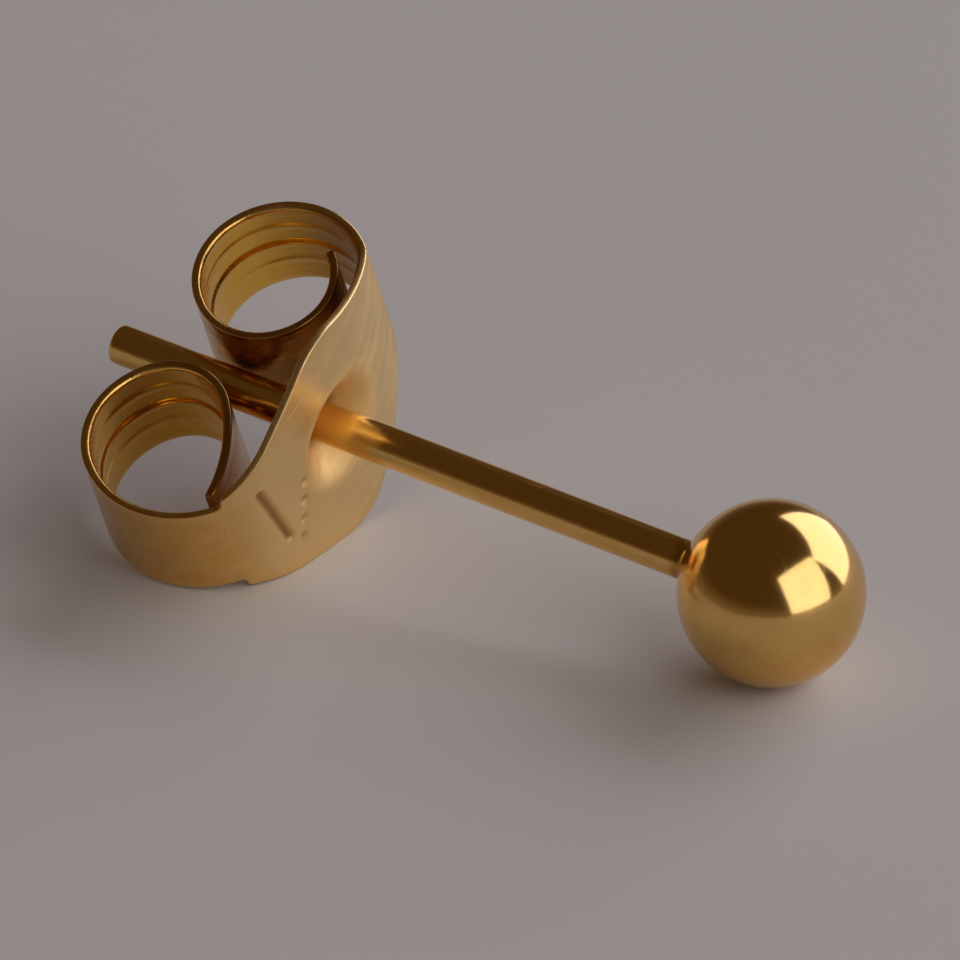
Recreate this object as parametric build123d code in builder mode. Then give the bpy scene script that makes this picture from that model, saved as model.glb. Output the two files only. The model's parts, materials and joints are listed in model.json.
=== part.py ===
from build123d import *
import os
from math import asin, atan, cos, degrees, radians, sin, tan

# A ball stud earring lying on a surface, with its scroll back pushed on to the post.
# Millimetres, +Z up, the surface at z = 0, the ball towards +X and the post's tip towards -X.

# Driving dimensions: the stud
ball_diameter = 3.0
post_diameter = 0.65
post_reach = 12.2            # ball's centre to the post's tip
tip_rounding = 0.10
solder_fillet = 0.18         # where the post meets the ball

# Driving dimensions: the scroll back, bent from one strip of sheet metal
back_distance = 7.95         # ball's centre to the front of the plate, at its hole
sheet_thickness = 0.15
plate_length = 5.24          # along the arms
flank_reach = 2.24           # hole's centre to each of the plate's four straight flanks
flank_angle = radians(27)    # flank to arm; the plate lies on one flank
apex_rounding = 1.20         # top and bottom of the plate
shoulder_rounding = 0.12     # where a flank turns in to an arm
arm_width = 2.00             # the strip that is rolled into the two scrolls
hole_clearance = 0.05        # radial, between post and hole
dimple_radius = 1.10         # pressed funnel that guides the post into the hole
dimple_depth = 0.62

# The strip's outer face from the hole outwards, each row bending it further the same way. The two
# arms were bent one after the other, and differ a little: name, bend radius, turn in degrees
far_bends = [
    ("plate bow", 4.66, 30.1),
    ("outer side", 1.50, 117.5),
    ("crown", 1.33, 101.8),
    ("side that grips the post", 1.19, 89.2),
    ("tucked end", 1.15, 75.5),
]
near_bends = [
    ("plate, almost flat", 16.0, 5.8),
    ("outer side", 1.76, 128.5),
    ("crown", 1.42, 91.7),
    ("side that grips the post", 1.09, 94.4),
    ("tucked end", 2.97, 36.6),
]
plate_end_turn = 60.0        # how far round the outer sides the plate's wide ends are cut from

ball_radius = ball_diameter / 2
post_radius = post_diameter / 2
hole_radius = post_radius + hole_clearance
bow_radius = near_bends[0][1]


def arm_reach(bends):
    """How far an arm stands out sideways from the post's axis."""
    (_, bow, bow_turn), (_, outer_side, _) = bends[:2]
    return outer_side + (bow - outer_side) * sin(radians(bow_turn))


def resting_angles():
    """Slope of the post and roll of the back with ball and plate flank at z = 0, in balance."""
    slope, roll = 0.0, flank_angle
    for _ in range(20):
        # the flank touches straight below the post's axis, where the bow sets it back a little
        foot = flank_reach * sin(roll)
        foot_setback = foot**2 / (2 * bow_radius)
        foot_height = (flank_reach - foot * sin(flank_angle)) / cos(flank_angle)
        drop = foot * sin(roll) + foot_height * cos(roll)
        slope = asin((drop * cos(slope) - ball_radius) / (back_distance + foot_setback))
        roll = flank_angle + atan(foot / bow_radius * tan(slope) * cos(flank_angle))
    return slope, roll


# The earring's own frame: z along the post from ball to tip, x along the back's arms.
slope, roll = resting_angles()
ball_x = (post_reach * cos(slope) + post_radius * sin(slope) - ball_radius) / 2
ball_y = (arm_reach(near_bends) - arm_reach(far_bends)) * cos(roll) / 2
post_axis = Vector(-cos(slope), 0, sin(slope))
arm_axis = Vector(sin(roll) * sin(slope), cos(roll), sin(roll) * cos(slope))
post_plane = Plane(origin=(ball_x, ball_y, ball_radius), x_dir=arm_axis, z_dir=post_axis)
plate_plane = post_plane.offset(back_distance)
far_section = Plane(origin=plate_plane.origin, x_dir=arm_axis, z_dir=-post_plane.y_dir)
near_section = Plane(origin=plate_plane.origin, x_dir=-arm_axis, z_dir=post_plane.y_dir)
arms = [(far_section, far_bends), (near_section, near_bends)]


def bend_chain(start, bends, inset):
    """Tangent arcs from start, each one inset tighter than its bend radius. Returns their end."""
    heading = (1, 0)
    for _, radius, turn in bends:
        bend = JernArc(start=start, tangent=heading, radius=radius - inset, arc_size=turn)
        start, heading = bend @ 1, bend % 1
    return start


def strip_section(plane, bends):
    """The bent sheet from the hole outwards, cut along one arm."""
    with BuildSketch(plane) as section:
        with BuildLine():
            outer_end = bend_chain((0, 0), bends, 0)
            inner_end = bend_chain((0, sheet_thickness), bends, sheet_thickness)
            Line((0, 0), (0, sheet_thickness))
            Line(outer_end, inner_end)
        make_face()
    return section.sketch


def plate_outline():
    """Rounded lozenge with its two ends cut off square where the arms begin."""
    end = plate_length / 2
    apex = flank_reach / cos(flank_angle)
    shoulder = apex - end * tan(flank_angle)
    with BuildSketch(plate_plane) as outline:
        with BuildLine():
            Polyline(
                (0, apex),
                (end, shoulder),
                (end, -shoulder),
                (0, -apex),
                (-end, -shoulder),
                (-end, shoulder),
                close=True,
            )
        make_face()
        corners = vertices().group_by(Axis.Y)
        fillet(corners[0] + corners[-1], apex_rounding)
        shoulders = vertices().filter_by(lambda corner: abs(corner.Y) < shoulder + sheet_thickness)
        fillet(shoulders, shoulder_rounding)
    return outline.sketch


with BuildPart() as stud:
    with Locations(post_plane):
        Sphere(ball_radius)
        Cylinder(post_radius, post_reach, align=(Align.CENTER, Align.CENTER, Align.MIN))
    post_rims = edges().filter_by(GeomType.CIRCLE).group_by(SortBy.RADIUS)[0]
    fillet(post_rims.sort_by(Axis.X)[-1], solder_fillet)
    fillet(edges().filter_by(GeomType.CIRCLE).sort_by(Axis.X)[0], tip_rounding)

with BuildPart() as scroll_back:
    # the plate: bowed sheet cut to its outline
    for plane, bends in arms:
        plate_bends = [bends[0], ("wide end", bends[1][1], plate_end_turn)]
        extrude(strip_section(plane, plate_bends), amount=flank_reach / cos(flank_angle), both=True)
    extrude(plate_outline(), amount=plate_length, both=True, mode=Mode.INTERSECT)
    # one arm rolled into its scroll, then the other
    for plane, bends in arms:
        extrude(strip_section(plane, bends), amount=arm_width / 2, both=True)
    # the pressed dimple and its hole
    with Locations(plate_plane):
        Cone(
            dimple_radius + sheet_thickness,
            hole_radius + sheet_thickness,
            dimple_depth + sheet_thickness,
            align=(Align.CENTER, Align.CENTER, Align.MIN),
        )
        Cone(
            dimple_radius,
            hole_radius,
            dimple_depth,
            align=(Align.CENTER, Align.CENTER, Align.MIN),
            mode=Mode.SUBTRACT,
        )
    with Locations(plate_plane.offset(dimple_depth + 2 * sheet_thickness)):
        Hole(hole_radius, depth=dimple_depth + 2 * sheet_thickness)

stud.part.label = "stud"
scroll_back.part.label = "scroll_back"
print(f"post slope {degrees(slope):.2f}, back roll {degrees(roll):.2f}")
print(f"ball at x {ball_x:.4f}, y {ball_y:.4f}")
for piece in (stud.part, scroll_back.part):
    print(piece.label, f"volume {piece.volume:.2f}, lowest point {piece.bounding_box().min.Z:.4f}")

os.makedirs("parts", exist_ok=True)
export_step(stud.part, "parts/stud.step")
export_step(scroll_back.part, "parts/scroll_back.step")
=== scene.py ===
import json
import math
import bmesh
import bpy
from mathutils import Matrix, Vector, kdtree

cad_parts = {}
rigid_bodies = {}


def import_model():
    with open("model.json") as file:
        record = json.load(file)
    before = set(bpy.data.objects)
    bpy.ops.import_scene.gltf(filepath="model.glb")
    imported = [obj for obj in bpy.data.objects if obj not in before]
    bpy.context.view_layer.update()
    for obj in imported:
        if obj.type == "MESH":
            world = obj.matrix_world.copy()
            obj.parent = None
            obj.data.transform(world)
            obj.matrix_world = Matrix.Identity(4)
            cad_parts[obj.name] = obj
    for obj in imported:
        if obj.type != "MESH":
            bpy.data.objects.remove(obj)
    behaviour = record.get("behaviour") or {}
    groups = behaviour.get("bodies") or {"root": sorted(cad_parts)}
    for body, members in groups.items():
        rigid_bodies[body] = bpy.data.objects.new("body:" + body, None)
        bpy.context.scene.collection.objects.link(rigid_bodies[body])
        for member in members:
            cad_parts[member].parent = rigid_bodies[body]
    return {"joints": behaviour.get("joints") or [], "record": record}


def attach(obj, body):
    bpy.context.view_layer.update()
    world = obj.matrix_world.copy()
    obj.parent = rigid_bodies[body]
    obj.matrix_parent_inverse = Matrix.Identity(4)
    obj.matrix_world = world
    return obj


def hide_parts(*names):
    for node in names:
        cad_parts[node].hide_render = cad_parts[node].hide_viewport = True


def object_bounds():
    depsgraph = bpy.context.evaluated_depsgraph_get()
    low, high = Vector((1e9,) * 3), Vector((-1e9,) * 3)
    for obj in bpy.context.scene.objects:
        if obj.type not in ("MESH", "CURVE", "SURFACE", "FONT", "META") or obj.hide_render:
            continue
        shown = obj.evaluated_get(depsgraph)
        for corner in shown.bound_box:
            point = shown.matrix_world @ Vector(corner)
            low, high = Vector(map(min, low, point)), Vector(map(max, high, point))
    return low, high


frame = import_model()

# A ball stud earring lying on a pale surface, its scroll back pushed on to the post.
# Sizes are in millimetres, and each finished mesh is placed in the frame's metres.
mm = 0.001
cadLow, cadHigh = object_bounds()

stud = {
    "ballRadius": 1.5,
    "postRadius": 0.325,
    "postReach": 12.2,        # ball's centre to the tip
    "solderFillet": 0.18,
    "tipRounding": 0.10,
    "tipRing": 0.08,          # one more ring on the tip's flat end, this far in
    "aroundSegments": 160,
    "ballStep": 1.5,          # degrees from ring to ring
    "filletStep": 6,
    "tipStep": 9,
    "fewestSteps": 4,
    "postRingSpacing": 0.12,
}

sheet = {
    "plateDistance": 7.95,    # ball's centre to the front of the plate
    "thickness": 0.15,
    "sharpEdge": 0.02,        # edge radius on the outer face
    "rolledEdge": 0.08,       # and on the inner face, where the punch pulled it round
    "edgeSteps": 6,
    "flankReach": 2.24,
    "flankAngle": math.radians(27),
    "apexRounding": 1.20,
    "plateHalfLength": 2.62,
    "shoulderRounding": 0.12,
    "rootFillet": 0.08,       # where the plate's end meets an arm
    "armHalfWidth": 1.00,
    "holeRadius": 0.375,
    "dimpleRadius": 1.10,
    "dimpleDepth": 0.62,
    "dimpleSoftness": 0.30,
    "dimpleFlare": 1.8,       # 1 is a straight cone, and more opens like a trumpet
    "dimpleReach": 2.0,       # nothing further along the strip than this is pressed
    "lipWidth": 0.25,         # round the hole, where the sheet comes upright again
    "patchHalfLength": 1.70,  # the round-meshed middle of the plate
    "collarWidth": 0.3,       # how far its round rings reach beyond the dimple
    "spacing": 0.04,
    "armSpacing": 0.064,
    "ringSpacing": 0.03,
    "outerRingsExtra": 4,
    "fewestSteps": 3,
    "rowsAcross": 60,
    "straightShare": 0.8,     # of the width, where a column goes straight across
    "fanBefore": 6,           # columns that fan out to the edge before the plate steps in
    "fanAfter": 4,            # and after it
    "fanShift": 0.03,         # and how far the middle column starts back
    "mergeDistance": 0.0005,
}

# the strip's outer face from the hole outwards: bend radius and turn in degrees on the far
# and on the near arm, which were bent one after the other and differ a little
bends = {
    "Plate": ((4.66, 30.1), (16.0, 5.8)),
    "Outer Side": ((1.50, 117.5), (1.76, 128.5)),
    "Crown": ((1.33, 101.8), (1.42, 91.7)),
    "Gripping Side": ((1.19, 89.2), (1.09, 94.4)),
    "Tucked End": ((1.15, 75.5), (2.97, 36.6)),
}
far, near = 0, 1
armSide = (1, -1)             # the far arm is on the +X side of the blank

marks = {
    "Groove Along": -1.90,    # a short line pressed across the plate, towards the near arm
    "Groove From": -0.78,
    "Groove To": 0.74,
    "Groove Lean": 0.185,     # how far it leans, per millimetre across
    "Groove Width": 0.14,
    "Groove Depth": 0.085,
    "Dots Along": -1.13,      # a plain row of punched dots
    "Dots From": -0.02,
    "Dots Lean": -0.34,
    "Dot Pitch": 0.36,
    "Dot Count": 4.0,
    "Dot Radius": 0.15,
    "Dot Depth": 0.070,
    "Groove Darkening": 1.0,    # how much of the brown each mark holds
    "Dot Darkening": 0.6,
    "Wave Size": 1.1,         # hand bending leaves the sheet very slightly uneven
    "Wave Height": 0.010,
    "Rib Across": -0.06,      # ribs left by the rolls, along the inside of the two arms
    "Rib Pitch": 0.46,
    "Rib Width": 0.12,
    "Rib Height": 0.046,
    "Rib Fade": 0.38,         # height against the next rib nearer the middle
    "Ribs Start": 2.9,        # distances along the strip
    "Ribs Full": 3.9,
    "Rib Noise": 0.8,         # scale of the unevenness along a rib
    "Rib Shift": 7.0,         # how far apart two ribs read it
    "Rib Least": 0.5,         # added to the noise, so that no rib goes flat
}


def earringFrame():
    # local X along the arms, Y across the plate, Z along the post from the ball's centre, in millimetres
    postAxis = Vector(frame["joints"][0]["axis"]).normalized()
    tip = next(m for m in frame["record"]["mounts"] if m["name"] == "post_tip")
    onPost = Vector(tip["pos_m"])
    ballCentre = onPost - postAxis * ((onPost.z - stud["ballRadius"] * mm) / postAxis.z)
    levelSide = Vector((0, 1, 0))
    raisedSide = levelSide.cross(postAxis)
    # the back rolls on to its flank, and the bow sets that flank back a little, which turns the sheet
    flankAngle, bowRadius = sheet["flankAngle"], bends["Plate"][near][0]
    flankSlope = math.tan(math.asin(postAxis.z)) * math.cos(flankAngle)
    roll = flankAngle
    for _ in range(5):
        foot = sheet["flankReach"] * math.sin(roll)
        roll = flankAngle + math.atan(foot / bowRadius * flankSlope)
    armAxis = levelSide * math.cos(roll) + raisedSide * math.sin(roll)
    axes = Matrix((armAxis, postAxis.cross(armAxis), postAxis)).transposed()
    return Matrix.Translation(ballCentre) @ axes.to_4x4() @ Matrix.Scale(mm, 4)


def feed(tree, socket, value):
    # a value is a plain value, or a socket to link from
    if isinstance(value, bpy.types.NodeSocket):
        tree.links.new(value, socket)
    else:
        socket.default_value = value


def addNode(tree, kind, values=(), **settings):
    # values go to the sockets in their order, or by name from a dictionary
    node = tree.nodes.new(kind)
    for name, value in settings.items():
        setattr(node, name, value)
    sockets = [s for s in node.inputs if s.enabled]
    pairs = values.items() if isinstance(values, dict) else zip(sockets, values)
    for socket, value in pairs:
        if isinstance(socket, str):
            socket = next(s for s in sockets if s.name == socket)
        feed(tree, socket, value)
    return node


def calc(tree, operation, *values):
    return addNode(tree, "ShaderNodeMath", values, operation=operation).outputs[0]


def times(tree, product, *factors):
    for factor in factors:
        product = calc(tree, "MULTIPLY", product, factor)
    return product


def clamped(tree, value, low, high):
    return addNode(tree, "ShaderNodeClamp", (value, low, high)).outputs[0]


def vectorCalc(tree, operation, *values):
    node = addNode(tree, "ShaderNodeVectorMath", values, operation=operation)
    return next(s for s in node.outputs if s.enabled)


def scaled(tree, direction, size):
    return addNode(tree, "ShaderNodeVectorMath", {"Vector": direction, "Scale": size},
                   operation="SCALE").outputs[0]


def combine(tree, x, y, z):
    return addNode(tree, "ShaderNodeCombineXYZ", (x, y, z)).outputs[0]


def separate(tree, place):
    return addNode(tree, "ShaderNodeSeparateXYZ", (place,)).outputs


def band(tree, value, start, end, low=0.0, high=1.0):
    # goes smoothly from low at start to high at end
    return addNode(tree, "ShaderNodeMapRange", (value, start, end, low, high),
                   interpolation_type="SMOOTHSTEP").outputs[0]


def noise(tree, place, scale, detail=2.0):
    return addNode(tree, "ShaderNodeTexNoise", {"Vector": place, "Scale": scale, "Detail": detail}).outputs[0]


def stretched(tree, place, turn, size):
    # turns a place, then divides it by the pattern's size along each axis
    return addNode(tree, "ShaderNodeMapping", {"Vector": place, "Rotation": turn, "Scale": size},
                   vector_type="TEXTURE").outputs[0]


def mixColour(tree, share, first, second):
    node = tree.nodes.new("ShaderNodeMix")
    node.data_type = "RGBA"
    # a mix node keeps its colour sockets after those for numbers and vectors
    for index, value in ((0, share), (6, first), (7, second)):
        feed(tree, node.inputs[index], value)
    return node.outputs[2]


def newGroup(name, kind, inputs, outputs):
    # inputs and outputs are {name: (socket type, default value)}
    tree = bpy.data.node_groups.new(name, kind)
    for inOut, sockets in (("INPUT", inputs), ("OUTPUT", outputs)):
        for socketName, (socketKind, default) in sockets.items():
            socket = tree.interface.new_socket(socketName, in_out=inOut, socket_type=socketKind)
            if default is not None:
                socket.default_value = default
    enter = tree.nodes.new("NodeGroupInput")
    leave = tree.nodes.new("NodeGroupOutput")
    return tree, enter.outputs, leave.inputs


def useGroup(tree, group, values):
    kind = "GeometryNodeGroup" if tree.bl_idname == "GeometryNodeTree" else "ShaderNodeGroup"
    node = tree.nodes.new(kind)
    node.node_tree = group
    for name, value in values.items():
        feed(tree, node.inputs[name], value)
    return node.outputs


number, vector = "NodeSocketFloat", "NodeSocketVector"
tint, geometry = "NodeSocketColor", "NodeSocketGeometry"


def studProfile():
    # (radius, height along the post) from the ball's far pole to the middle of the tip
    ball, post, fillet = stud["ballRadius"], stud["postRadius"], stud["solderFillet"]
    tipRound, reach = stud["tipRounding"], stud["postReach"]
    filletHeight = math.sqrt((ball + fillet) ** 2 - (post + fillet) ** 2)
    meet = math.atan2(post + fillet, filletHeight)      # angle off the post where ball and fillet touch

    def arc(radius, centreRadius, centreHeight, start, end, degreesPerRing):
        steps = max(stud["fewestSteps"], round(abs(math.degrees(end - start)) / degreesPerRing))
        angles = [start + (end - start) * k / steps for k in range(steps + 1)]
        return [(centreRadius + radius * math.sin(a), centreHeight + radius * math.cos(a)) for a in angles]

    profile = arc(ball, 0, 0, math.pi, meet, stud["ballStep"])
    filletEnd = 1.5 * math.pi
    profile += arc(fillet, post + fillet, filletHeight, meet + math.pi, filletEnd, stud["filletStep"])[1:]
    shoulder = reach - tipRound
    rings = round((shoulder - filletHeight) / stud["postRingSpacing"])
    profile += [(post, filletHeight + (shoulder - filletHeight) * k / rings) for k in range(1, rings)]
    profile += arc(tipRound, post - tipRound, shoulder, math.pi / 2, 0, stud["tipStep"])
    profile += [(post - tipRound - stud["tipRing"], reach), (0, reach)]
    return profile


def lathe(name, profile, segments):
    # turns a profile that starts and ends on the axis into a closed mesh
    turned = bmesh.new()
    rings = []
    for radius, height in profile[1:-1]:
        ring = [turned.verts.new((radius * math.cos(a), radius * math.sin(a), height))
                for a in (2 * math.pi * k / segments for k in range(segments))]
        rings.append(ring)
    for lower, upper in zip(rings, rings[1:]):
        for k in range(segments):
            j = (k + 1) % segments
            turned.faces.new((lower[k], lower[j], upper[j], upper[k]))
    for ring, (_, height) in ((rings[0], profile[0]), (rings[-1], profile[-1])):
        pole = turned.verts.new((0, 0, height))
        for k in range(segments):
            turned.faces.new((pole, ring[k], ring[(k + 1) % segments]))
    bmesh.ops.recalc_face_normals(turned, faces=turned.faces)
    mesh = bpy.data.meshes.new(name)
    turned.to_mesh(mesh)
    turned.free()
    # the place on the lathe, in millimetres, stays on the mesh for the material
    onLathe = [c for v in mesh.vertices for c in v.co]
    mesh.attributes.new("onLathe", "FLOAT_VECTOR", "POINT").data.foreach_set("vector", onLathe)
    return mesh


# The scroll back is a flat blank, which Geometry Nodes then bend round its path.

def stripDistance(across, arm):
    # how far along the strip lies a point that is this far from the post's axis
    (bowRadius, bowTurn), (sideRadius, _) = bends["Plate"][arm], bends["Outer Side"][arm]
    bowTurn = math.radians(bowTurn)
    bowAcross = bowRadius * math.sin(bowTurn)
    if across <= bowAcross:
        return bowRadius * math.asin(across / bowRadius)
    heading = math.asin(math.sin(bowTurn) + (across - bowAcross) / sideRadius)
    return bowRadius * bowTurn + sideRadius * (heading - bowTurn)


def blankOutline(arm):
    # one quarter of the blank's edge, from the apex to the end of an arm, as (along, half width),
    # drawn rolledEdge inside the true edge, and the three columns that the fan runs between
    inset = sheet["rolledEdge"]
    tilt, end, armHalf = sheet["flankAngle"], sheet["plateHalfLength"], sheet["armHalfWidth"]
    apexRound, shoulderRound = sheet["apexRounding"], sheet["shoulderRounding"]
    root = sheet["rootFillet"]
    flankTurn = math.pi / 2 - tilt

    def arc(centre, radius, start, finish):
        steps = max(sheet["fewestSteps"], round(abs(finish - start) * radius / sheet["spacing"]))
        angles = [start + (finish - start) * k / steps for k in range(steps + 1)]
        return [(centre[0] + radius * math.cos(a), centre[1] + radius * math.sin(a)) for a in angles]

    apexCentre = (0, (sheet["flankReach"] - apexRound) / math.cos(tilt))
    shoulderAcross = end - shoulderRound
    shoulderReach = sheet["flankReach"] - shoulderRound - shoulderAcross * math.sin(tilt)
    shoulderCentre = (shoulderAcross, shoulderReach / math.cos(tilt))
    rootCentre = (end + root, armHalf + root)
    apex = arc(apexCentre, apexRound - inset, math.pi / 2, flankTurn)
    shoulder = arc(shoulderCentre, shoulderRound - inset, flankTurn, 0)
    armRoot = arc(rootCentre, root + inset, math.pi, 1.5 * math.pi)
    start, finish = apex[-1], shoulder[0]
    steps = round(math.dist(start, finish) / sheet["spacing"])
    flank = [tuple(a + (b - a) * k / steps for a, b in zip(start, finish)) for k in range(1, steps)]
    plate = [(stripDistance(a, arm), w) for a, w in apex + flank + shoulder + armRoot]
    armStart = plate[-1][0]
    stripLength = sum(radius * math.radians(turn) for radius, turn in (row[arm] for row in bends.values()))
    armLength = stripLength - inset - armStart
    steps = round(armLength / sheet["armSpacing"])
    armEdge = [(armStart + armLength * k / steps, armHalf - inset) for k in range(1, steps + 1)]
    shoulderStart = len(apex) + len(flank)
    corner = shoulderStart + len(shoulder) - 1
    return plate + armEdge, (shoulderStart - sheet["fanBefore"], corner, len(plate) + sheet["fanAfter"])


def flatBlank():
    # a flat mesh of quads: rings round the hole in the middle of the plate, columns across the rest
    rows = sheet["rowsAcross"]
    shares = [2 * j / rows - 1 for j in range(rows + 1)]
    innerShare = sheet["straightShare"]
    outlines = [blankOutline(far), blankOutline(near)]
    patchEnds = [next(k for k, (along, _) in enumerate(points) if along >= sheet["patchHalfLength"])
                 for points, _ in outlines]

    def column(arm, k):
        # straight across the middle, and then fanned out to the edge where the plate steps in
        points, (before, corner, after) = outlines[arm]
        along, half = points[k]
        middle, smoothHalf = along, half
        if before <= k <= after:
            start, finish = (before, corner) if k <= corner else (corner, after)
            ends = [points[i][0] - (sheet["fanShift"] if i == corner else 0) for i in (start, finish)]
            middle = ends[0] + (ends[1] - ends[0]) * (k - start) / (finish - start)
            wide, narrow = points[before][1], points[after][1]
            smoothHalf = wide + (narrow - wide) * (k - before) / (after - before)
        row = []
        for share in shares:
            outer = max(0, abs(share) - innerShare) / (1 - innerShare)
            inner = math.copysign(min(abs(share), innerShare), share) * smoothHalf
            edge = math.copysign(half, share)
            row.append((armSide[arm] * (middle + (along - middle) * outer), inner + (edge - inner) * outer))
        return row

    flat = bmesh.new()

    def strip(first, second):
        for j in range(len(first) - 1):
            corners = [first[j], second[j], second[j + 1], first[j + 1]]
            flat.faces.new([flat.verts.new((x, y, 0)) for x, y in corners])

    for arm in (far, near):
        for k in range(patchEnds[arm], len(outlines[arm][0]) - 1):
            strip(column(arm, k), column(arm, k + 1))

    top = [(-along, half) for along, half in outlines[near][0][patchEnds[near]:0:-1]]
    top += outlines[far][0][:patchEnds[far] + 1]
    bottom = [(x, -y) for x, y in reversed(top)]
    right, left = column(far, patchEnds[far])[::-1], column(near, patchEnds[near])
    border = top[:-1] + right[:-1] + bottom[:-1] + left
    hole = sheet["holeRadius"] + sheet["rolledEdge"]
    collar = sheet["dimpleRadius"] + sheet["collarWidth"]
    collarRings = round((collar - hole) / sheet["ringSpacing"])
    outerRings = round((sheet["patchHalfLength"] - collar) / sheet["ringSpacing"]) + sheet["outerRingsExtra"]
    rings = []
    for i in range(collarRings + 1):
        radius = hole + (collar - hole) * i / collarRings
        rings.append([tuple(radius * c / math.hypot(x, y) for c in (x, y)) for x, y in border])
    for i in range(1, outerRings + 1):
        share = i / outerRings
        rings.append([tuple(a + (b - a) * share for a, b in zip(inner, outer))
                      for inner, outer in zip(rings[collarRings], border)])
    for inner, outer in zip(rings, rings[1:]):
        strip(inner, outer)
    bmesh.ops.remove_doubles(flat, verts=flat.verts, dist=sheet["mergeDistance"])
    bmesh.ops.recalc_face_normals(flat, faces=flat.faces)
    return flat


def edgeDistances(points, nextAround, before):
    # how far each point of the flat mesh is from the nearest cut edge
    tree = kdtree.KDTree(len(nextAround))
    for v in nextAround:
        tree.insert((*points[v], 0), v)
    tree.balance()

    def toSide(p, a, b):
        share = max(0, min(1, (p - a).dot(b - a) / (b - a).length_squared))
        return (p - (a + (b - a) * share)).length

    distances = []
    for p in points:
        _, v, _ = tree.find((*p, 0))
        distances.append(min(toSide(p, points[v], points[w]) for w in (nextAround[v], before[v])))
    return distances


def roundedBlank(name):
    # gives the flat mesh its thickness, with a rounded edge round the outline and the hole
    flat = flatBlank()
    thickness, steps = sheet["thickness"], sheet["edgeSteps"]
    sharp, soft = sheet["sharpEdge"], sheet["rolledEdge"]
    angles = [math.pi / 2 * k / steps for k in range(steps + 1)]
    # (outwards, depth) round the edge, from the front face to the back
    profile = [(0, 0)]
    profile += [(soft - sharp + sharp * math.sin(a), sharp * (1 - math.cos(a))) for a in angles[::2]]
    profile += [(soft * math.cos(a), thickness - soft * (1 - math.sin(a))) for a in angles]
    flat.verts.index_update()
    points = [v.co.xy for v in flat.verts]
    faces = [[v.index for v in f.verts] for f in flat.faces]
    nextAround, before = {}, {}
    for e in flat.edges:
        if len(e.link_loops) == 1:
            loop = e.link_loops[0]
            start, finish = loop.vert.index, loop.link_loop_next.vert.index
            nextAround[start], before[finish] = finish, start
    flat.faces.ensure_lookup_table()
    upwards = flat.faces[0].normal.z > 0
    flat.free()
    vertices = [(x, y, 0) for x, y in points] + [(x, y, thickness) for x, y in points]
    count = len(points)
    rim = {v: [v] for v in nextAround}
    for v in nextAround:
        direction = (points[nextAround[v]] - points[before[v]]).normalized()
        outward = Vector((direction.y, -direction.x)) * (1 if upwards else -1)
        for out, depth in profile[1:-1]:
            rim[v].append(len(vertices))
            vertices.append((points[v].x + outward.x * out, points[v].y + outward.y * out, depth))
        rim[v].append(v + count)
    quads = faces + [[v + count for v in reversed(face)] for face in faces]
    for v, following in nextAround.items():
        for i in range(len(profile) - 1):
            quads.append([rim[following][i], rim[v][i], rim[v][i + 1], rim[following][i + 1]])
    mesh = bpy.data.meshes.new(name)
    mesh.from_pydata(vertices, [], quads)
    fromEdge = edgeDistances(points, nextAround, before)
    mesh.attributes.new("fromEdge", "FLOAT", "POINT").data.foreach_set(
        "value", fromEdge + fromEdge + [0.0] * (len(vertices) - 2 * count))
    closed = bmesh.new()
    closed.from_mesh(mesh)
    bmesh.ops.recalc_face_normals(closed, faces=closed.faces)
    closed.to_mesh(mesh)
    closed.free()
    return mesh


def tangentArcGroup():
    # carries a point and its heading round one bend, as far as its distance reaches
    tree, enter, leave = newGroup(
        "tangentArc", "GeometryNodeTree",
        {"Distance": (number, 0.0), "Point": (vector, None), "Heading": (number, 0.0),
         "Radius": (number, 1.0), "Turn": (number, 90.0)},
        {"Distance": (number, None), "Point": (vector, None), "Heading": (number, None)})
    arcLength = times(tree, enter["Radius"], calc(tree, "RADIANS", enter["Turn"]))
    step = calc(tree, "MINIMUM", enter["Distance"], arcLength)
    heading = calc(tree, "ADD", enter["Heading"], calc(tree, "DIVIDE", step, enter["Radius"]))
    outwards = calc(tree, "SUBTRACT", calc(tree, "SINE", heading), calc(tree, "SINE", enter["Heading"]))
    inwards = calc(tree, "SUBTRACT", calc(tree, "COSINE", enter["Heading"]), calc(tree, "COSINE", heading))
    move = scaled(tree, combine(tree, outwards, 0.0, inwards), enter["Radius"])
    tree.links.new(calc(tree, "SUBTRACT", enter["Distance"], step), leave["Distance"])
    tree.links.new(vectorCalc(tree, "ADD", enter["Point"], move), leave["Point"])
    tree.links.new(heading, leave["Heading"])
    return tree


def dimpleGroup():
    # depth of the pressed funnel at a distance from the post's axis
    tree, enter, leave = newGroup(
        "dimpleDepth", "GeometryNodeTree",
        {"From Axis": (number, 0.0), "Hole Radius": (number, 0.4), "Dimple Radius": (number, 1.0),
         "Dimple Depth": (number, 0.6), "Dimple Softness": (number, 0.3), "Dimple Flare": (number, 1.0)},
        {"Depth": (number, None)})
    inside = calc(tree, "SUBTRACT", enter["Dimple Radius"], enter["From Axis"])
    wall = calc(tree, "SUBTRACT", enter["Dimple Radius"], enter["Hole Radius"])
    ramp = calc(tree, "SMOOTH_MAX", calc(tree, "DIVIDE", inside, wall), 0.0, enter["Dimple Softness"])
    flared = calc(tree, "POWER", ramp, enter["Dimple Flare"])
    tree.links.new(times(tree, flared, enter["Dimple Depth"]), leave["Depth"])
    return tree


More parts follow.
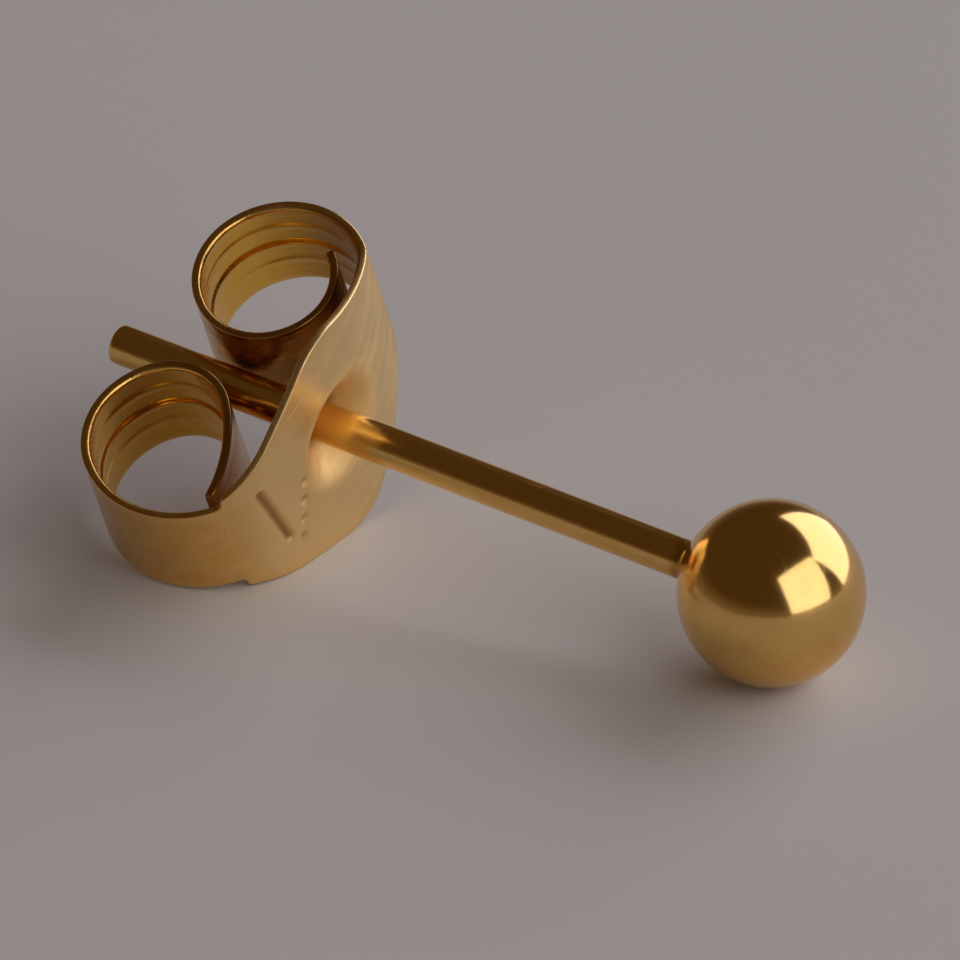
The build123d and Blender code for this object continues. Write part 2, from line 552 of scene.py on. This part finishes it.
def pathRoundBends(tree, enter, along):
    # where each point of the blank comes to on the bent path, as if on the +X side, and its heading there
    isFar = addNode(tree, "FunctionNodeCompare", {"A": along, "B": 0.0}, operation="GREATER_THAN").outputs[0]

    def forArm(name):
        return addNode(tree, "GeometryNodeSwitch", (isFar, enter["Near " + name], enter["Far " + name]),
                       input_type="FLOAT").outputs[0]

    arc = tangentArcGroup()
    state = {"Distance": calc(tree, "ABSOLUTE", along), "Heading": 0.0}
    for name in bends:
        out = useGroup(tree, arc, {**state, "Radius": forArm(name + " Radius"),
                                   "Turn": forArm(name + " Turn")})
        state = {key: out[key] for key in ("Distance", "Point", "Heading")}
    return state["Point"], state["Heading"]


def pressedDimple(tree, enter, along, flatPoint):
    # how deep the dimple is at each point, and how far its wall leans the sheet outwards
    fromAxis = vectorCalc(tree, "LENGTH", flatPoint)
    isPlate = calc(tree, "LESS_THAN", calc(tree, "ABSOLUTE", along), enter["Dimple Reach"])
    shape = {name: enter[name] for name in (
        "Hole Radius", "Dimple Radius", "Dimple Depth", "Dimple Softness", "Dimple Flare")}
    dimple = dimpleGroup()
    step = 0.01               # far enough apart to measure the wall's slope
    pressed = useGroup(tree, dimple, {"From Axis": fromAxis, **shape})["Depth"]
    pressedNext = useGroup(tree, dimple, {"From Axis": calc(tree, "ADD", fromAxis, step), **shape})["Depth"]
    wallSlope = calc(tree, "DIVIDE", calc(tree, "SUBTRACT", pressed, pressedNext), step)
    lipEnd = calc(tree, "ADD", enter["Hole Radius"], enter["Lip Width"])
    lip = band(tree, fromAxis, enter["Hole Radius"], lipEnd)
    lean = times(tree, wallSlope, lip, isPlate)
    leaning = scaled(tree, vectorCalc(tree, "NORMALIZE", flatPoint), lean)
    return times(tree, pressed, isPlate), leaning


def punchedMarks(tree, enter, along, across):
    # how deep the groove and the dots are, and how much dark brown they take
    lean = times(tree, across, enter["Groove Lean"])
    fromLine = calc(tree, "SUBTRACT", along, calc(tree, "ADD", enter["Groove Along"], lean))
    onLine = clamped(tree, across, enter["Groove From"], enter["Groove To"])
    grooveSide = calc(tree, "DIVIDE", fromLine, enter["Groove Width"])
    grooveEnd = calc(tree, "DIVIDE", calc(tree, "SUBTRACT", across, onLine), enter["Groove Width"])
    grooveFar = vectorCalc(tree, "LENGTH", combine(tree, grooveSide, grooveEnd, 0.0))
    fromFirst = calc(tree, "SUBTRACT", across, enter["Dots From"])
    nearest = calc(tree, "ROUND", calc(tree, "DIVIDE", fromFirst, enter["Dot Pitch"]))
    last = calc(tree, "SUBTRACT", enter["Dot Count"], 1.0)
    dot = clamped(tree, nearest, 0.0, last)
    dotAcross = calc(tree, "ADD", enter["Dots From"], times(tree, dot, enter["Dot Pitch"]))
    dotAlong = calc(tree, "ADD", enter["Dots Along"], times(tree, dotAcross, enter["Dots Lean"]))
    offAlong = calc(tree, "SUBTRACT", along, dotAlong)
    offAcross = calc(tree, "SUBTRACT", across, dotAcross)
    fromDot = vectorCalc(tree, "LENGTH", combine(tree, offAlong, offAcross, 0.0))
    dotFar = calc(tree, "DIVIDE", fromDot, enter["Dot Radius"])
    dents = calc(tree, "ADD", band(tree, grooveFar, 0.0, 1.0, enter["Groove Depth"], 0.0),
                 band(tree, dotFar, 0.0, 1.0, enter["Dot Depth"], 0.0))
    darkBrown = calc(tree, "MAXIMUM", band(tree, grooveFar, 0.0, 1.0, enter["Groove Darkening"], 0.0),
                   band(tree, dotFar, 0.0, 1.0, enter["Dot Darkening"], 0.0))
    return dents, darkBrown


def rolledRibs(tree, enter, along, across):
    # ribs along the inside of the arms, tallest in the middle and uneven along their length
    fromMiddle = calc(tree, "SUBTRACT", across, enter["Rib Across"])
    rib = calc(tree, "ROUND", calc(tree, "DIVIDE", fromMiddle, enter["Rib Pitch"]))
    ribAcross = calc(tree, "ADD", enter["Rib Across"], times(tree, rib, enter["Rib Pitch"]))
    fromRib = calc(tree, "ABSOLUTE", calc(tree, "SUBTRACT", across, ribAcross))
    ribFar = calc(tree, "DIVIDE", fromRib, enter["Rib Width"])
    share = calc(tree, "POWER", enter["Rib Fade"], calc(tree, "ABSOLUTE", rib))
    onArm = band(tree, calc(tree, "ABSOLUTE", along), enter["Ribs Start"], enter["Ribs Full"])
    noisePlace = combine(tree, along, times(tree, rib, enter["Rib Shift"]), 0.0)
    uneven = calc(tree, "ADD", noise(tree, noisePlace, enter["Rib Noise"], 1.0), enter["Rib Least"])
    tall = times(tree, share, onArm, uneven)
    return times(tree, band(tree, ribFar, 0.0, 1.0, enter["Rib Height"], 0.0), tall)


def stored(tree, mesh, name, value, kind, domain):
    # keeps a value on the mesh, for the material to read
    return addNode(tree, "GeometryNodeStoreNamedAttribute", {"Geometry": mesh, "Name": name, "Value": value},
                   data_type=kind, domain=domain).outputs[0]


def scrollBackTree(material):
    sizes = {"Thickness": sheet["thickness"], "Hole Radius": sheet["holeRadius"],
             "Dimple Radius": sheet["dimpleRadius"], "Dimple Depth": sheet["dimpleDepth"],
             "Dimple Softness": sheet["dimpleSoftness"], "Dimple Flare": sheet["dimpleFlare"],
             "Dimple Reach": sheet["dimpleReach"], "Lip Width": sheet["lipWidth"], **marks}
    for name, arms in bends.items():
        for arm, (radius, turn) in zip(("Far ", "Near "), arms):
            sizes[arm + name + " Radius"] = radius
            sizes[arm + name + " Turn"] = turn
    tree, enter, leave = newGroup(
        "bendScrollBack", "GeometryNodeTree",
        {"Geometry": (geometry, None), **{name: (number, 0.0) for name in sizes}},
        {"Geometry": (geometry, None)})
    position = tree.nodes.new("GeometryNodeInputPosition").outputs[0]
    along, across, depth = separate(tree, position)
    side = calc(tree, "SIGN", along)
    pathPoint, heading = pathRoundBends(tree, enter, along)
    outX, _, outZ = separate(tree, pathPoint)
    sideX = times(tree, outX, side)
    # the sheet's inward direction, leaning outwards where the dimple slopes
    dimpleDepth, leaning = pressedDimple(tree, enter, along, combine(tree, sideX, across, 0.0))
    tiltX = times(tree, calc(tree, "SINE", heading), side, -1.0)
    inward = combine(tree, tiltX, 0.0, calc(tree, "COSINE", heading))
    throughSheet = vectorCalc(tree, "NORMALIZE", vectorCalc(tree, "ADD", inward, leaning))
    # marks press on the front face, ribs stand on the rolls' side, and the whole sheet waves a little
    dents, darkBrown = punchedMarks(tree, enter, along, across)
    front = calc(tree, "SUBTRACT", 1.0, calc(tree, "DIVIDE", depth, enter["Thickness"]))
    waves = noise(tree, position, calc(tree, "DIVIDE", 1.0, enter["Wave Size"]), 1.0)
    ribs = times(tree, rolledRibs(tree, enter, along, across), calc(tree, "SUBTRACT", 1.0, front))
    pressedIn = calc(tree, "ADD", times(tree, dents, front), times(tree, waves, enter["Wave Height"]))
    inDepth = calc(tree, "ADD", depth, calc(tree, "ADD", pressedIn, ribs))
    onPath = vectorCalc(tree, "ADD", combine(tree, sideX, across, outZ), scaled(tree, throughSheet, inDepth))
    bentPoint = vectorCalc(tree, "ADD", onPath, combine(tree, 0.0, 0.0, dimpleDepth))
    # the flat coordinates stay on the mesh, for the rolled grain
    kept = stored(tree, enter["Geometry"], "UVMap", combine(tree, along, across, 0.0), "FLOAT2", "CORNER")
    kept = stored(tree, kept, "onBlank", position, "FLOAT_VECTOR", "POINT")
    kept = stored(tree, kept, "pressedMark", times(tree, darkBrown, front), "FLOAT", "POINT")
    bent = addNode(tree, "GeometryNodeSetPosition", {"Geometry": kept, "Position": bentPoint}).outputs[0]
    smooth = addNode(tree, "GeometryNodeSetShadeSmooth", {"Geometry": bent, "Shade Smooth": True}).outputs[0]
    real = addNode(tree, "GeometryNodeRealizeInstances", {"Geometry": smooth}).outputs[0]
    painted = addNode(tree, "GeometryNodeSetMaterial", {"Geometry": real, "Material": material}).outputs[0]
    tree.links.new(painted, leave["Geometry"])
    return tree, sizes


def bentScrollBack(material):
    blank = bpy.data.objects.new("scrollBlank", roundedBlank("scrollBlank"))
    bpy.context.scene.collection.objects.link(blank)
    tree, sizes = scrollBackTree(material)
    modifier = blank.modifiers.new("bend", "NODES")
    modifier.node_group = tree
    for item in tree.interface.items_tree:
        if item.in_out == "INPUT" and item.name in sizes:
            modifier[item.identifier] = sizes[item.name]
    evaluated = blank.evaluated_get(bpy.context.evaluated_depsgraph_get())
    mesh = bpy.data.meshes.new_from_object(evaluated)
    blank.modifiers.remove(modifier)
    bpy.data.objects.remove(blank)
    return mesh


# The patterns that both finishes share, most of them noise kept above a range of values.
patterns = {
    "patchRange": (0.32, 0.72),
    "speckFiner": 3.7,              # specks are this many times smaller than patches
    "speckDetail": 4.0,
    "speckRange": (0.45, 0.80),
    "speckShare": 0.16,
    "shadeDetail": 3.0,
    "shadeBreaks": (0.25, 0.60),
    "scratchTurns": ((0.4, 0.9, 0.3), (1.9, 0.2, 1.1), (2.6, 1.4, 2.2)),
    "scratchStretch": (9.0, 1.0, 9.0),
    "scratchFiner": 0.3,            # each direction is finer than the one before by this share
    "scratchPatches": (0.9, 0.5),   # scale of the noise that breaks them up, and its step by direction
    "scratchKept": (0.46, 0.60),
    "lineDetail": 3.0,
    "coarseScale": 0.23,            # coarse lines against fine ones
    "coarseRange": (0.42, 0.68),
    "pitPatches": 1.3,
    "pitsKept": (0.50, 0.62),
}


def goldToneGroup():
    # slow drifts of colour in the plating, brown specks, and painted shade where told, broken up by noise
    tree, enter, leave = newGroup(
        "goldTone", "ShaderNodeTree",
        {"Place": (vector, None), "Gold": (tint, None), "Red Gold": (tint, None), "Speck And Shade Brown": (tint, None),
         "Patch Size": (number, 0.9), "Painted Shade": (number, 0.0)},
        {"Colour": (tint, None)})
    place = enter["Place"]
    patchScale = calc(tree, "DIVIDE", 1.0, enter["Patch Size"])
    speckScale = calc(tree, "DIVIDE", patterns["speckFiner"], enter["Patch Size"])
    patches = band(tree, noise(tree, place, patchScale), *patterns["patchRange"])
    specks = band(tree, noise(tree, place, speckScale, patterns["speckDetail"]), *patterns["speckRange"])
    breaks = band(tree, noise(tree, place, speckScale, patterns["shadeDetail"]), *patterns["shadeBreaks"])
    plated = mixColour(tree, patches, enter["Gold"], enter["Red Gold"])
    broken = times(tree, enter["Painted Shade"], breaks)
    share = calc(tree, "ADD", times(tree, specks, patterns["speckShare"]), broken)
    toned = mixColour(tree, calc(tree, "MINIMUM", share, 1.0), plated, enter["Speck And Shade Brown"])
    tree.links.new(toned, leave["Colour"])
    return tree


def hairScratchesGroup():
    # thin wandering scratches in three directions, each where a stretched noise crosses its middle
    tree, enter, leave = newGroup(
        "hairScratches", "ShaderNodeTree",
        {"Place": (vector, None), "Spacing": (number, 0.3), "Width": (number, 0.02)},
        {"Scratch": (number, None)})
    patchScale, patchStep = patterns["scratchPatches"]
    middle = 0.5
    total = None
    for k, turn in enumerate(patterns["scratchTurns"]):
        laid = stretched(tree, enter["Place"], turn, patterns["scratchStretch"])
        spread = calc(tree, "DIVIDE", 1.0 + patterns["scratchFiner"] * k, enter["Spacing"])
        offMiddle = calc(tree, "ABSOLUTE", calc(tree, "SUBTRACT", noise(tree, laid, spread, 1.0), middle))
        line = band(tree, offMiddle, 0.0, enter["Width"], 1.0, 0.0)
        kept = band(tree, noise(tree, enter["Place"], patchScale + patchStep * k), *patterns["scratchKept"])
        line = times(tree, line, kept)
        total = line if total is None else calc(tree, "MAXIMUM", total, line)
    tree.links.new(total, leave["Scratch"])
    return tree


def drawnLinesGroup():
    # lines drawn lengthwise by the die or the rolls, broken up and of uneven depth
    tree, enter, leave = newGroup(
        "drawnLines", "ShaderNodeTree",
        {"Place": (vector, None), "Stretch": (vector, None), "Width": (number, 0.05)},
        {"Line": (number, None), "Coarse Line": (number, None)})
    laid = vectorCalc(tree, "DIVIDE", enter["Place"], enter["Stretch"])
    fineScale = calc(tree, "DIVIDE", 1.0, enter["Width"])
    coarseScale = calc(tree, "DIVIDE", patterns["coarseScale"], enter["Width"])
    tree.links.new(noise(tree, laid, fineScale, patterns["lineDetail"]), leave["Line"])
    tree.links.new(band(tree, noise(tree, laid, coarseScale), *patterns["coarseRange"]), leave["Coarse Line"])
    return tree


def pitsGroup():
    # small round pits left by casting, tumbling and plating
    tree, enter, leave = newGroup(
        "platingPits", "ShaderNodeTree",
        {"Place": (vector, None), "Spacing": (number, 0.4), "Radius": (number, 0.1)},
        {"Pit": (number, None)})
    cells = addNode(tree, "ShaderNodeTexVoronoi", {
        "Vector": enter["Place"], "Scale": calc(tree, "DIVIDE", 1.0, enter["Spacing"])})
    kept = band(tree, noise(tree, enter["Place"], patterns["pitPatches"]), *patterns["pitsKept"])
    pit = band(tree, cells.outputs["Distance"], 0.0, enter["Radius"], 1.0, 0.0)
    tree.links.new(times(tree, pit, kept), leave["Pit"])
    return tree


goldTone, hairScratches = goldToneGroup(), hairScratchesGroup()
drawnLines, platingPits = drawnLinesGroup(), pitsGroup()


def startMetal(name, attribute):
    material = bpy.data.materials.new(name)
    material.use_nodes = True
    tree = material.node_tree
    shader = tree.nodes["Principled BSDF"]
    shader.inputs["Metallic"].default_value = 1.0
    place = addNode(tree, "ShaderNodeAttribute", attribute_name=attribute).outputs["Vector"]
    return material, tree, shader, place


def weighted(tree, start, masks, weights):
    # start plus each named mask times its weight
    total = start
    for name, weight in weights.items():
        total = calc(tree, "MULTIPLY_ADD", masks[name], weight, total)
    return total


def zone(tree, value, starts, ends):
    # 1 between two places, with a soft start and a soft end
    return times(tree, band(tree, value, *starts), band(tree, value, *ends))


def handlingMasks(tree, place, finish):
    # the marks that any plated surface picks up
    return {
        "scratch": useGroup(tree, hairScratches, {"Place": place, **finish["scratches"]})["Scratch"],
        "pit": useGroup(tree, platingPits, {"Place": place, **finish["pits"]})["Pit"],
        "smudge": band(tree, noise(tree, place, *finish["smudgeNoise"]), *finish["smudgeRange"]),
        "ripple": noise(tree, place, *finish["rippleNoise"]),
    }


def finishMetal(tree, shader, colour, masks, finish):
    # heights are in millimetres
    roughness = weighted(tree, finish["roughness"], masks, finish["roughnessFrom"])
    height = weighted(tree, 0.0, masks, finish["heightFrom"])
    bump = addNode(tree, "ShaderNodeBump", {"Strength": 1.0, "Distance": mm, "Height": height}).outputs[0]
    kept = clamped(tree, roughness, finish["smoothest"], 1.0)
    tree.links.new(colour, shader.inputs["Base Color"])
    tree.links.new(kept, shader.inputs["Roughness"])
    tree.links.new(bump, shader.inputs["Normal"])


polish = {
    "tone": {"Gold": (0.85, 0.54, 0.175, 1), "Red Gold": (0.82, 0.49, 0.14, 1),
             "Speck And Shade Brown": (0.52, 0.28, 0.07, 1), "Patch Size": 1.3},
    "scratches": {"Spacing": 0.5, "Width": 0.012},
    "pits": {"Spacing": 0.23, "Radius": 0.14},
    "wire": {"Stretch": (1.0, 1.0, 30.0), "Width": 0.07},      # drawn along the post
    "rings": {"Stretch": (1.0, 1.0, 0.12), "Width": 0.30},     # scuffed round it by the scroll back
    "smudgeNoise": (0.8, 3.0),      # scale and detail, as for each noise here
    "smudgeRange": (0.40, 0.75),
    "rippleNoise": (6.0, 3.0),
    "solderNoise": (6.0, 2.0),
    # heights along the post between which each zone comes in, and then goes
    "postStarts": (1.50, 1.74),
    "solderZone": ((1.36, 1.47), (1.75, 1.60)),
    "slideZone": ((7.4, 7.9), (11.9, 11.5)),
    "roughness": 0.13,
    "smoothest": 0.03,
    "roughnessFrom": {"post": -0.04, "smudge": 0.05, "scratch": 0.06, "pit": 0.15, "lines": 0.05,
                      "coarse": 0.04, "scuff": 0.06, "solder": 0.10},
    "heightFrom": {"scratch": -0.0001, "pit": -0.0010, "lines": 0.0012, "coarse": -0.0010,
                   "ripple": 0.0008, "solderGrain": 0.010},
}


def polishedGoldMaterial():
    material, tree, shader, place = startMetal("polishedGold", "onLathe")
    height = separate(tree, place)[2]
    post = band(tree, height, *polish["postStarts"])
    solder = zone(tree, height, *polish["solderZone"])
    slide = zone(tree, height, *polish["slideZone"])
    wire = useGroup(tree, drawnLines, {"Place": place, **polish["wire"]})
    rings = useGroup(tree, drawnLines, {"Place": place, **polish["rings"]})["Line"]
    masks = {
        "post": post,
        "solder": solder,
        "lines": times(tree, wire["Line"], post),
        "coarse": times(tree, wire["Coarse Line"], post),
        "scuff": times(tree, rings, slide, post),
        "solderGrain": times(tree, solder, noise(tree, place, *polish["solderNoise"])),
        **handlingMasks(tree, place, polish),
    }
    # painted shade: browner in the corner where the post meets the ball
    tone = useGroup(tree, goldTone, {"Place": place, "Painted Shade": solder, **polish["tone"]})["Colour"]
    finishMetal(tree, shader, tone, masks, polish)
    return material


rolled = {
    "tone": {"Gold": (0.86, 0.54, 0.165, 1), "Red Gold": (0.83, 0.46, 0.12, 1),
             "Speck And Shade Brown": (0.36, 0.17, 0.04, 1), "Patch Size": 1.0},
    # painted reflection: the inner faces a deeper orange, standing in for light bounced between the gold
    # walls
    "bouncedLightGold": (0.90, 0.52, 0.07, 1),
    "bouncedLightShare": 0.85,
    "bouncedLightLess": {"plate": -0.60},  # the plate's back takes less of it
    # painted sheen: the plate's front paler, standing in for the window light it catches
    "plateSheenGold": (0.91, 0.69, 0.33, 1),
    "wornGold": (0.90, 0.60, 0.22, 1),
    "wornShare": 0.35,
    # the dark brown of the painted shade, of the painted dark reflection on the rims, and of the marks
    "darkBrown": (0.36, 0.17, 0.04, 1),
    "darkBrownMost": 0.9,
    "grain": {"Stretch": (26.0, 1.0, 1.0), "Width": 0.06},     # along the strip, from the rolls
    "shear": {"Stretch": (1.0, 1.0, 12.0), "Width": 0.05},     # through the sheet, from the shears
    "scratches": {"Spacing": 0.45, "Width": 0.014},
    "pits": {"Spacing": 0.20, "Radius": 0.15},
    "smudgeNoise": (1.1, 3.0),
    "smudgeRange": (0.38, 0.74),
    "rippleNoise": (5.0, 3.0),
    # depths in the sheet
    "insideFrom": (0.5 * sheet["thickness"], 0.9 * sheet["thickness"]),
    "rimZone": ((0.01, 0.04), (sheet["thickness"] - 0.01, sheet["thickness"] - 0.04)),
    # distances in from a cut edge, which the burnish follows raggedly
    "wornRange": (0.08, 0.24, 1.0, 0.0),
    "raggedNoise": (7.0, 3.0),
    "raggedBy": 0.16,
    # distances from the post's axis
    "funnelRange": (sheet["holeRadius"] + 0.05, sheet["holeRadius"] + 0.40, 1.0, 0.0),
    "holeRingRange": (sheet["holeRadius"] + 0.03, sheet["holeRadius"] + 0.16, 1.0, 0.0),
    "dimpleRange": (sheet["dimpleRadius"] - 0.1, sheet["dimpleRadius"] + 0.2, 1.0, 0.0),
    "sheenFromPost": (0.6, 1.3, 0.5, 1.0),
    # distances along the strip
    "plateRange": (2.2, 3.4, 1.0, 0.0),
    "sheenAlong": (1.9, 3.2, 0.8, 0.0),
    "grippingFrom": (7.2, 8.6),
    "tuckedFrom": (9.2, 11.2),
    "behindEndZone": ((1.7, 2.3), (5.2, 3.6)),
    "roughness": 0.11,
    "smoothest": 0.03,
    "roughnessFrom": {"inside": 0.02, "smudge": 0.08, "line": 0.06, "coarse": 0.07, "scratch": 0.07,
                      "pit": 0.18, "sheared": 0.14, "worn": -0.03, "plate": 0.25, "dimple": 0.16,
                      "darkBrown": 0.12},
    "heightFrom": {"line": 0.0030, "coarse": -0.0030, "scratch": -0.0003, "pit": -0.0020,
                   "sheared": 0.006, "ripple": 0.0028},
    # weights of the painted shade, of the painted dark reflection on the rims, and of the marks' dark brown
    "shadeAndMarksFrom": {"funnel": 0.15, "holeRing": 0.50, "tucked": 0.55, "gripping": 0.50,
                    "behindEnd": 0.90, "rim": 0.34, "marked": 0.85},
}


def rolledGoldMaterial():
    material, tree, shader, place = startMetal("rolledGold", "onBlank")
    along, across, depth = separate(tree, place)
    fromMiddle = calc(tree, "ABSOLUTE", along)
    fromPost = vectorCalc(tree, "LENGTH", combine(tree, along, across, 0.0))
    fromEdge = addNode(tree, "ShaderNodeAttribute", attribute_name="fromEdge").outputs["Fac"]
    raggedness = noise(tree, place, *rolled["raggedNoise"])
    ragged = calc(tree, "MULTIPLY_ADD", raggedness, rolled["raggedBy"], fromEdge)
    inside = band(tree, depth, *rolled["insideFrom"])
    outside = calc(tree, "SUBTRACT", 1.0, inside)
    rim = zone(tree, depth, *rolled["rimZone"])
    grain = useGroup(tree, drawnLines, {"Place": place, **rolled["grain"]})
    shear = useGroup(tree, drawnLines, {"Place": place, **rolled["shear"]})["Line"]
    masks = {
        "inside": inside,
        "rim": rim,
        "worn": band(tree, ragged, *rolled["wornRange"]),
        "funnel": band(tree, fromPost, *rolled["funnelRange"]),
        "holeRing": band(tree, fromPost, *rolled["holeRingRange"]),
        "dimple": band(tree, fromPost, *rolled["dimpleRange"]),
        "plate": band(tree, fromMiddle, *rolled["plateRange"]),
        "tucked": band(tree, fromMiddle, *rolled["tuckedFrom"]),
        "gripping": times(tree, band(tree, fromMiddle, *rolled["grippingFrom"]), outside),
        "behindEnd": times(tree, zone(tree, along, *rolled["behindEndZone"]), inside),
        "marked": addNode(tree, "ShaderNodeAttribute", attribute_name="pressedMark").outputs["Fac"],
        "line": grain["Line"],
        "coarse": grain["Coarse Line"],
        "sheared": times(tree, shear, rim),
        **handlingMasks(tree, place, rolled),
    }
    # painted shade: dark brown in the crevices behind and round the tucked ends, on the gripping sides' outer
    # faces, in the funnel and in a ring round the hole, and a painted dark reflection along the cut rims; the
    # pressed groove and dots take the same dark brown
    darkBrown = weighted(tree, 0.0, masks, rolled["shadeAndMarksFrom"])
    masks["darkBrown"] = clamped(tree, darkBrown, 0.0, rolled["darkBrownMost"])
    tone = useGroup(tree, goldTone, {"Place": place, **rolled["tone"]})["Colour"]
    # painted reflection of bounced light on the inner faces
    bouncedLightShare = times(tree, inside, weighted(tree, rolled["bouncedLightShare"], masks, rolled["bouncedLightLess"]))
    # painted sheen on the plate's front, less near the post and fading along the arms
    plateSheen = times(tree, band(tree, fromMiddle, *rolled["sheenAlong"]),
                  band(tree, fromPost, *rolled["sheenFromPost"]))
    wornShare = times(tree, masks["worn"], rolled["wornShare"])
    colour = mixColour(tree, bouncedLightShare, tone, rolled["bouncedLightGold"])
    colour = mixColour(tree, times(tree, outside, plateSheen), colour, rolled["plateSheenGold"])
    colour = mixColour(tree, wornShare, colour, rolled["wornGold"])
    # painted shade and painted dark reflection, with the marks' dark brown
    colour = mixColour(tree, masks["darkBrown"], colour, rolled["darkBrown"])
    finishMetal(tree, shader, colour, masks, rolled)
    return material


def addPiece(name, mesh, material, node, body):
    outAlongPost = sheet["plateDistance"] if node == "scroll_back" else 0
    mesh.transform(earringFrame() @ Matrix.Translation((0, 0, outAlongPost)))
    mesh.materials.clear()
    mesh.materials.append(material)
    mesh.polygons.foreach_set("use_smooth", [True] * len(mesh.polygons))
    piece = bpy.data.objects.new(name, mesh)
    bpy.context.scene.collection.objects.link(piece)
    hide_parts(node)
    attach(piece, body)


print("making the stud")
polishedGold, rolledGold = polishedGoldMaterial(), rolledGoldMaterial()
studMesh = lathe("studMesh", studProfile(), stud["aroundSegments"])
addPiece("stud_polished", studMesh, polishedGold, "stud", "stud")
print("bending the scroll back")
backMesh = bentScrollBack(rolledGold)
addPiece("scroll_back_sheet", backMesh, rolledGold, "scroll_back", "scroll_back")
for o in bpy.context.scene.objects:
    if o.type == "MESH" and not o.hide_render:
        print(o.name, "triangles", sum(len(p.vertices) - 2 for p in o.data.polygons))


# Surface, light and camera are in metres.
studio = {
    "floorSize": 3.0,
    "floorColour": (0.67, 0.64, 0.575, 1),
    "floorRoughness": 0.8,
    "roomColour": (0.066, 0.041, 0.016, 1),       # the dim warm room that dark reflections show
    "horizonColour": (0.16, 0.12, 0.085, 1),
    "horizonFades": (0.0, 0.28),
}
softboxes = {                 # azimuth is counted from the camera's view
    "sideWindow": {"azimuth": 49, "elevation": 28, "distance": 0.60, "width": 0.64, "height": 0.58,
                   "power": 1.72, "colour": (1.0, 1.0, 1.13)},
    "backWindow": {"azimuth": 128, "elevation": 26, "distance": 0.60, "width": 0.74, "height": 0.56,
                   "power": 2.15, "colour": (1.0, 0.99, 1.20)},
}
view = {
    "azimuth": 31.9,
    "elevation": 29.7,
    "roll": -1.0,
    "distance": 0.356,
    "frameWidth": 0.0152,
    "lookLower": 0.0003,
    "clipStart": 0.01,
    "clipEnd": 20,
}


def makeFloor():
    mesh = bpy.data.meshes.new("floor")
    half = studio["floorSize"] / 2
    corners = [(-half, -half, 0), (half, -half, 0), (half, half, 0), (-half, half, 0)]
    mesh.from_pydata(corners, [], [(0, 1, 2, 3)])
    material = bpy.data.materials.new("paleFloor")
    material.use_nodes = True
    shader = material.node_tree.nodes["Principled BSDF"]
    shader.inputs["Base Color"].default_value = studio["floorColour"]
    shader.inputs["Roughness"].default_value = studio["floorRoughness"]
    mesh.materials.append(material)
    floor = bpy.data.objects.new("floor", mesh)
    bpy.context.scene.collection.objects.link(floor)


def fromCamera(azimuth, elevation):
    # a direction seen from the earring: azimuth 0 is towards the camera, positive to the camera's right
    turn = math.radians(view["azimuth"] + azimuth)
    rise = math.radians(elevation)
    return Vector((math.sin(turn) * math.cos(rise), -math.cos(turn) * math.cos(rise), math.sin(rise)))


def softbox(name, azimuth, elevation, distance, width, height, power, colour):
    light = bpy.data.lights.new(name, "AREA")
    light.shape = "RECTANGLE"
    light.size = width
    light.size_y = height
    light.energy = power
    light.color = colour
    lamp = bpy.data.objects.new(name, light)
    direction = fromCamera(azimuth, elevation)
    lamp.location = direction * distance
    lamp.rotation_mode = "QUATERNION"
    lamp.rotation_quaternion = direction.to_track_quat("Z", "Y")
    bpy.context.scene.collection.objects.link(lamp)


def makeCamera():
    camera = bpy.data.objects.new("camera", bpy.data.cameras.new("camera"))
    bpy.context.scene.collection.objects.link(camera)
    back = fromCamera(0, view["elevation"])
    target = (cadLow + cadHigh) / 2 - Vector((0, 0, view["lookLower"]))
    camera.location = target + back * view["distance"]
    camera.rotation_mode = "QUATERNION"
    roll = Matrix.Rotation(math.radians(view["roll"]), 4, "Z").to_quaternion()
    camera.rotation_quaternion = back.to_track_quat("Z", "Y") @ roll
    camera.data.lens = camera.data.sensor_width * view["distance"] / view["frameWidth"]
    camera.data.clip_start = view["clipStart"]
    camera.data.clip_end = view["clipEnd"]
    bpy.context.scene.camera = camera


def makeRoom():
    world = bpy.data.worlds.new("room")
    world.use_nodes = True
    tree = world.node_tree
    upwards = separate(tree, tree.nodes.new("ShaderNodeTexCoord").outputs["Generated"])[2]
    fade = band(tree, upwards, *studio["horizonFades"])
    glow = mixColour(tree, fade, studio["horizonColour"], studio["roomColour"])
    tree.links.new(glow, tree.nodes["Background"].inputs["Color"])
    bpy.context.scene.world = world
    bpy.context.scene.view_settings.view_transform = "Standard"


print("lighting the table")
makeFloor()
makeRoom()
for boxName, settings in softboxes.items():
    softbox(boxName, **settings)
makeCamera()
